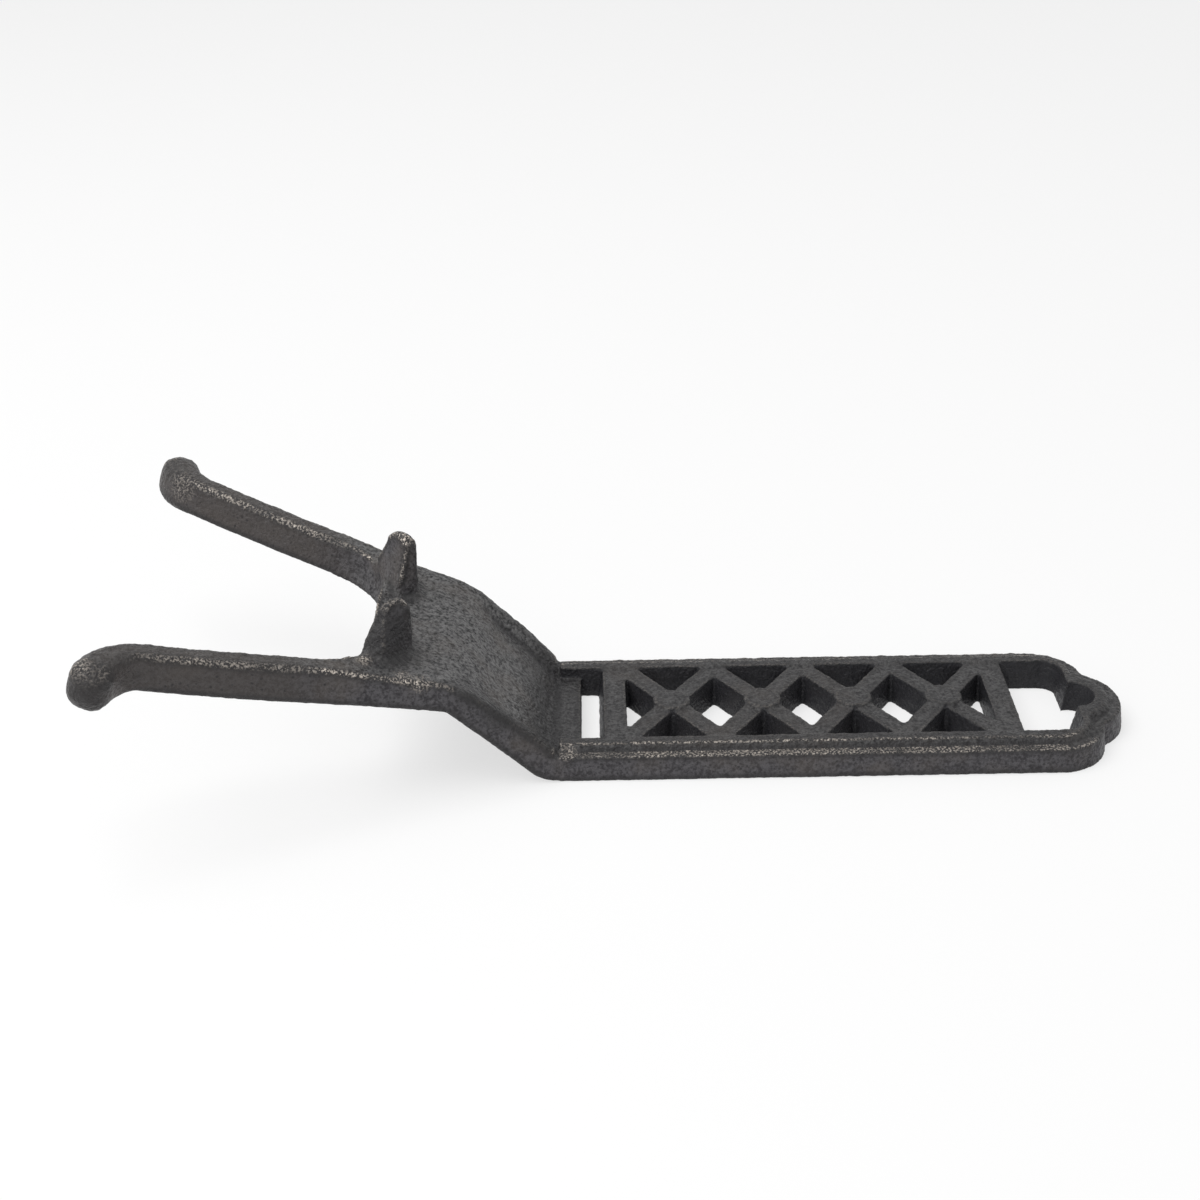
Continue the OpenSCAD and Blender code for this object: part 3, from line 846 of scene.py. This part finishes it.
    def keep_in_box(self, mesh: bpy.types.Mesh) -> None:
        """Moves the few points that stand out of the frame's box back to its faces."""
        places = np.clip(points_of(mesh), CAD_BOX[0], CAD_BOX[1])
        mesh.vertices.foreach_set("co", places.ravel())
        mesh.update()


def points_of(mesh: bpy.types.Mesh) -> np.ndarray:
    """The places of a mesh's points, one row each."""
    places = np.empty(len(mesh.vertices) * 3)
    mesh.vertices.foreach_get("co", places)
    return places.reshape(-1, 3)


def normals_of(mesh: bpy.types.Mesh) -> np.ndarray:
    """The directions in which a mesh's points face, one row each."""
    facing = np.empty(len(mesh.vertices) * 3)
    mesh.vertex_normals.foreach_get("vector", facing)
    return facing.reshape(-1, 3)


def piece_from(made: bmesh.types.BMesh, name: str) -> bpy.types.Object:
    """Makes an object at the origin from a mesh in the making, which is freed.

    Args:
        made: The mesh in the making.
        name: The object's name.

    Returns:
        The object.
    """
    mesh = bpy.data.meshes.new(name)
    made.to_mesh(mesh)
    made.free()
    piece = bpy.data.objects.new(name, mesh)
    bpy.context.scene.collection.objects.link(piece)
    return piece


@dataclass
class Section:
    """One named section of the casting."""

    node: str
    made: bmesh.types.BMesh

    def dress(self, finish: bpy.types.Material) -> None:
        """Makes the section a piece that stands for its solid and wears the finish."""
        if not self.made.faces:
            raise ValueError(f"{self.node} came out empty")
        count = len(self.made.faces)
        piece = piece_from(self.made, self.node + "_casting")
        piece.data.materials.append(finish)
        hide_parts(self.node)
        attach(piece, ROOT)
        log.info("%s: %d faces", piece.name, count)


@dataclass
class Tread:
    """The flat openwork tread between its foot and its tail.

    Args:
        clearance: How far a cut keeps from a wall that it runs along, in metres.
    """

    clearance: float = 0.6 * MM

    def rail_plane(self, side: Side) -> Plane:
        """The leaning plane where the openwork meets a rail, which faces that side."""
        low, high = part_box("foot_web")[1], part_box("slot_bar")[1]
        lean = (high.y - low.y) / (high.z - low.z)
        point = (0, side.value * (low.y - self.clearance), low.z)
        return Plane(point, (0, side.value, -lean))

    def sections(self, made: bmesh.types.BMesh) -> list[Section]:
        """Parts the tread into its rails, web, bars and crosses.

        Args:
            made: The tread, which is freed.

        Returns:
            Its sections.
        """
        found = []
        for side in Side:
            made, rail = self.rail_plane(side).part(made)
            found.append(Section(f"{side.word}_rail", rail))
        slot = (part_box("foot_web")[1].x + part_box("slot_bar")[0].x) / 2
        cuts = [("foot_web", slot), ("slot_bar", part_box("trellis_cross_1")[0].x + self.clearance)]
        cuts += [(f"trellis_cross_{i}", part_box(f"trellis_cross_{i + 1}")[0].x) for i in (1, 2, 3)]
        cuts += [("trellis_cross_4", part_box("trellis_cross_4")[1].x - self.clearance)]
        for node, x in cuts:
            done, made = across(x).part(made)
            found.append(Section(node, done))
        return [*found, Section("tail_bar", made)]


@dataclass
class Tail:
    """The scalloped tail: two shoulders and the lobe between them.

    Args:
        root: Where the seam between lobe and shoulder starts in plan, on the far side, in metres.
        cusp: Where it ends, in the notch of the outline.
    """

    root: tuple[float, float] = (112.722 * MM, 5.1 * MM)
    cusp: tuple[float, float] = (120.094 * MM, 12.588 * MM)

    def seam(self, side: Side) -> Plane:
        """The upright plane between the lobe and a shoulder, which faces the shoulder."""
        along = Vector((self.cusp[0] - self.root[0], self.cusp[1] - self.root[1])).normalized()
        return Plane((self.root[0], side.value * self.root[1], 0), (-along.y, side.value * along.x, 0))

    def sections(self, made: bmesh.types.BMesh) -> list[Section]:
        """Parts the tail.

        Args:
            made: The tail, which is freed.

        Returns:
            Its sections.
        """
        found = []
        for side in Side:
            made, shoulder = self.seam(side).part(made)
            found.append(Section(f"{side.word}_shoulder", shoulder))
        return [*found, Section("tail_lobe", made)]


@dataclass
class Fork:
    """The yoke with its lugs, prongs and tips.

    Args:
        prong_root: A point of the plane between yoke and prongs, as x and z, in metres.
        prong_root_slope: Slope of the fork there, in degrees.
        prong_end: A point of the plane between prongs and tips, as x and z, in metres.
        prong_end_slope: Slope of the fork there, in degrees.
        lug_foot: A point of the plane under the lugs, as x and z, in metres.
        lug_foot_slope: Slope of the yoke's upper side, in degrees.
    """

    prong_root: tuple[float, float] = (-78.281 * MM, 31.391 * MM)
    prong_root_slope: float = 15.924
    prong_end: tuple[float, float] = (-113.702 * MM, 42.415 * MM)
    prong_end_slope: float = 18.649
    lug_foot: tuple[float, float] = (-53.15 * MM, 33.81 * MM)
    lug_foot_slope: float = 19.3

    def sections(self, made: bmesh.types.BMesh) -> list[Section]:
        """Parts the fork.

        Args:
            made: The fork, which is freed.

        Returns:
            Its sections.
        """
        yoke, prongs = crosswise(self.prong_root, self.prong_root_slope).part(made)
        prongs, tips = crosswise(self.prong_end, self.prong_end_slope).part(prongs)
        slope = math.radians(self.lug_foot_slope)
        foot = Plane((self.lug_foot[0], 0, self.lug_foot[1]), (math.sin(slope), 0, math.cos(slope)))
        yoke, lugs = foot.part(yoke)
        found = [Section("yoke", yoke)]
        for word, pair in (("lug", lugs), ("prong", prongs), ("tip", tips)):
            near, far = middle().part(pair)
            found += [Section(f"near_{word}", near), Section(f"far_{word}", far)]
        return found


def crosswise(point: tuple[float, float], slope: float) -> Plane:
    """A plane square to the neck or fork, which faces the prongs.

    Args:
        point: A point of it, as x and z, in metres.
        slope: Slope of the neck or fork there, in degrees.

    Returns:
        The plane.
    """
    angle = math.radians(slope)
    return Plane((point[0], 0, point[1]), (-math.cos(angle), 0, math.sin(angle)))


@dataclass
class BootJack:
    """The jack: tread, tail, neck and fork.

    Args:
        neck_end: A point of the plane between neck and yoke, as x and z, in metres.
        neck_end_slope: Slope there, in degrees.
    """

    neck_end: tuple[float, float] = (-51.2231 * MM, 24.194 * MM)
    neck_end_slope: float = 13.867

    def build(self) -> None:
        """Casts the jack, parts it and dresses its sections."""
        whole = Casting().shape()
        log.info("casting: %d faces", len(whole.faces))
        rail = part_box("near_rail")
        raised, lying = across(rail[0].x).part(whole)
        tread, tail = across(rail[1].x).part(lying)
        neck, fork = crosswise(self.neck_end, self.neck_end_slope).part(raised)
        sections = [*Tread().sections(tread), *Tail().sections(tail)]
        sections += [Section("neck", neck), *Fork().sections(fork)]
        finish = CastIron().material()
        for section in sections:
            section.dress(finish)


@dataclass(frozen=True)
class Lamp:
    """A soft square lamp that faces the jack.

    Args:
        name: Its name.
        place: Where it hangs, in metres.
        size: Length of its sides, in metres.
        power: Its power, in watts.
    """

    name: str
    place: Point
    size: float
    power: float

    def hang(self) -> None:
        """Adds the lamp to the scene."""
        data = bpy.data.lights.new(self.name, "AREA")
        data.size, data.energy = self.size, self.power
        lamp = bpy.data.objects.new(self.name, data)
        lamp.location = self.place
        lamp.rotation_euler = (-Vector(self.place)).to_track_quat("-Z", "Y").to_euler()
        bpy.context.scene.collection.objects.link(lamp)


@dataclass
class Studio:
    """Camera, floor, lamps and world.

    Args:
        eye: Place of the camera, in metres.
        pitch: How far the camera looks down, in degrees.
        yaw: How far it is turned to the right, in degrees.
        roll: How far it is rolled clockwise, in degrees.
        lens: Its focal length, in millimetres.
        sensor: Width of its sensor, in millimetres.
        sight: Nearest and farthest distance that it sees, in metres.
        half_floor: Half the length of the floor's sides, in metres.
        paper: Colour of the floor.
        paper_roughness: Roughness of the floor.
        paper_white: How much plain white the eye sees in the floor; the rest keeps the shadow.
        ambient: Strength of the light from all round.
        lamps: The lamps.
    """

    eye: Point = (-8.72 * MM, -416.85 * MM, 265.66 * MM)
    pitch: float = 28.649
    yaw: float = 0.162
    roll: float = 0.887
    lens: float = 57.0
    sensor: float = 36.0
    sight: tuple[float, float] = (0.01, 20)
    half_floor: float = 4
    paper: Colour = (0.97, 0.97, 0.97)
    paper_roughness: float = 0.9
    paper_white: float = 0.64
    ambient: float = 0.50
    lamps: tuple[Lamp, ...] = (
        Lamp("key", (-0.45, -0.15, 1.1), 0.9, 8.5),
        Lamp("fill", (-0.5, -0.9, 0.6), 0.8, 1.4),
    )

    def camera(self) -> None:
        """Sets the camera where the photograph was taken from."""
        data = bpy.data.cameras.new("camera")
        data.lens, data.sensor_width = self.lens, self.sensor
        data.clip_start, data.clip_end = self.sight
        camera = bpy.data.objects.new("camera", data)
        bpy.context.scene.collection.objects.link(camera)
        turn = Euler((0, 0, -math.radians(self.yaw))).to_matrix()
        turn = turn @ Euler((math.radians(90 - self.pitch), 0, 0)).to_matrix()
        turn = turn @ Euler((0, 0, -math.radians(self.roll))).to_matrix()
        camera.rotation_euler = turn.to_euler()
        camera.location = self.eye
        bpy.context.scene.camera = camera

    def white_to_eye(
        self, tree: bpy.types.NodeTree, plain: bpy.types.NodeSocket, share: float
    ) -> bpy.types.NodeSocket:
        """Mixes in plain white for the camera and for what is mirrored.

        Args:
            tree: The node tree.
            plain: The shader that lights and is lit.
            share: How much of the white the eye sees.

        Returns:
            The mixed shader.
        """
        nodes = Nodes(tree)
        path = nodes.add("ShaderNodeLightPath")
        seen = path.outputs["Is Camera Ray"]
        for kind in ("Is Glossy Ray", "Is Transmission Ray"):
            seen = nodes.math("MAXIMUM", seen, path.outputs[kind])
        white = nodes.add("ShaderNodeEmission" if share < 1 else "ShaderNodeBackground")
        blend = nodes.add("ShaderNodeMixShader")
        nodes.link(nodes.scaled(seen, share), blend.inputs[0])
        nodes.link(plain, blend.inputs[1])
        nodes.link(white.outputs[0], blend.inputs[2])
        white.inputs["Color"].default_value = (1, 1, 1, 1)
        return blend.outputs[0]

    def floor(self) -> None:
        """Lays a white floor that keeps a faint shadow."""
        made = bmesh.new()
        bmesh.ops.create_grid(made, x_segments=1, y_segments=1, size=self.half_floor)
        floor = piece_from(made, "floor")
        paper = bpy.data.materials.new("floor")
        paper.use_nodes = True
        nodes = Nodes(paper.node_tree)
        shader = nodes.find("BSDF_PRINCIPLED")
        shader.inputs["Base Color"].default_value = (*self.paper, 1)
        shader.inputs["Roughness"].default_value = self.paper_roughness
        mixed = self.white_to_eye(paper.node_tree, shader.outputs[0], self.paper_white)
        nodes.link(mixed, nodes.find("OUTPUT_MATERIAL").inputs["Surface"])
        floor.data.materials.append(paper)

    def world(self) -> None:
        """Lights the room evenly and shows it white."""
        world = bpy.data.worlds.new("room")
        world.use_nodes = True
        bpy.context.scene.world = world
        nodes = Nodes(world.node_tree)
        even = nodes.find("BACKGROUND")
        even.inputs["Color"].default_value = (1, 1, 1, 1)
        even.inputs["Strength"].default_value = self.ambient
        mixed = self.white_to_eye(world.node_tree, even.outputs[0], 1.0)
        nodes.link(mixed, nodes.find("OUTPUT_WORLD").inputs["Surface"])

    def set_up(self) -> None:
        """Sets up the whole studio."""
        self.camera()
        self.floor()
        self.world()
        for lamp in self.lamps:
            lamp.hang()
        bpy.context.scene.view_settings.view_transform = "Standard"


def main() -> None:
    logging.basicConfig(level=logging.INFO, format="%(name)s %(message)s")
    Studio().set_up()
    BootJack().build()


if __name__ == "__main__":
    main()
